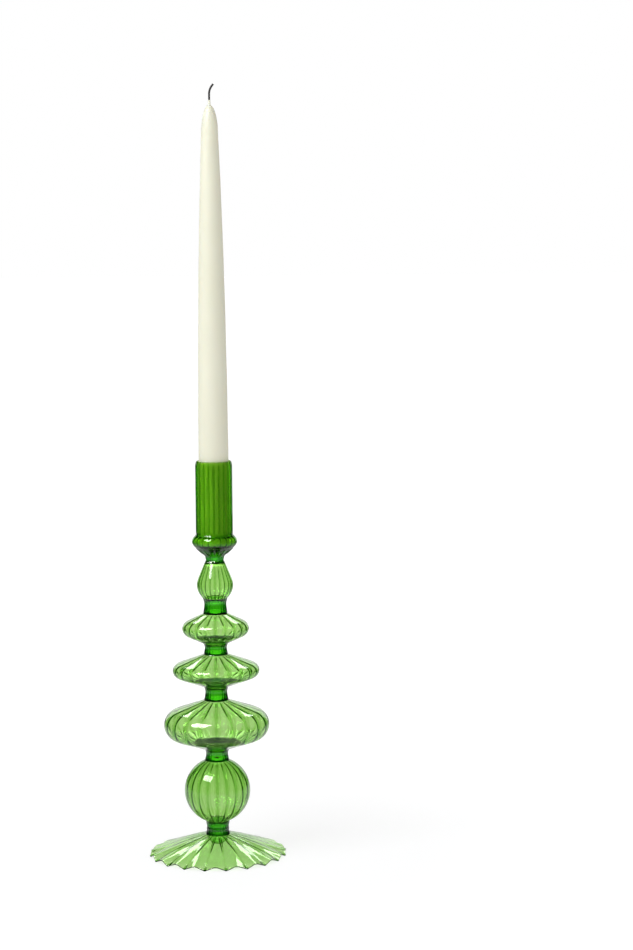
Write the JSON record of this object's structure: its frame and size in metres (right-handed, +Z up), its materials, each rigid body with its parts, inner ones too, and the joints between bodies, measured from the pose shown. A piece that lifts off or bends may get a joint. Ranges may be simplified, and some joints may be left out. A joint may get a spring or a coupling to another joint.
{
  "type": "candlestick",
  "caption": "Tall hollow-glass candlestick with a ribbed flared foot, a stem of stacked bulbs, a drip collar and a candle cup, holding a tapered candle that lifts out.",
  "frame": {"origin": "on the table, under the middle of the foot, at the plane of the rib tips that it stands on", "axes": "+Z up along the stem and the candle. The stem is round, so X and Y are free; the wick bends towards +X"},
  "size_m": [0.1, 0.1, 0.5594],
  "materials": {
    "green_glass": "clear green blown glass, glossy, with fine vertical ribs",
    "ivory_wax": "smooth dipped ivory wax, satin",
    "wick_cotton": "braided cotton, charred above the wax"
  },
  "bodies": {
    "holder": {"foot_skirt": "green_glass", "stem_seal": "green_glass", "foot_neck": "green_glass", "ball": "green_glass", "ball_neck": "green_glass", "large_disc": "green_glass", "large_disc_neck": "green_glass", "medium_disc": "green_glass", "medium_disc_neck": "green_glass", "small_disc": "green_glass", "small_disc_neck": "green_glass", "onion_bulb": "green_glass", "cup_neck": "green_glass", "cup_floor": "green_glass", "drip_collar": "green_glass", "candle_cup": "green_glass"},
    "candle": {"candle_wax": "ivory_wax", "wick": "wick_cotton"}
  },
  "joints": [
    {"name": "candle_lift", "type": "slide", "parent": "holder", "child": "candle", "axis": [0, 0, 1], "range_m": [0, 0.07]}
  ]
}
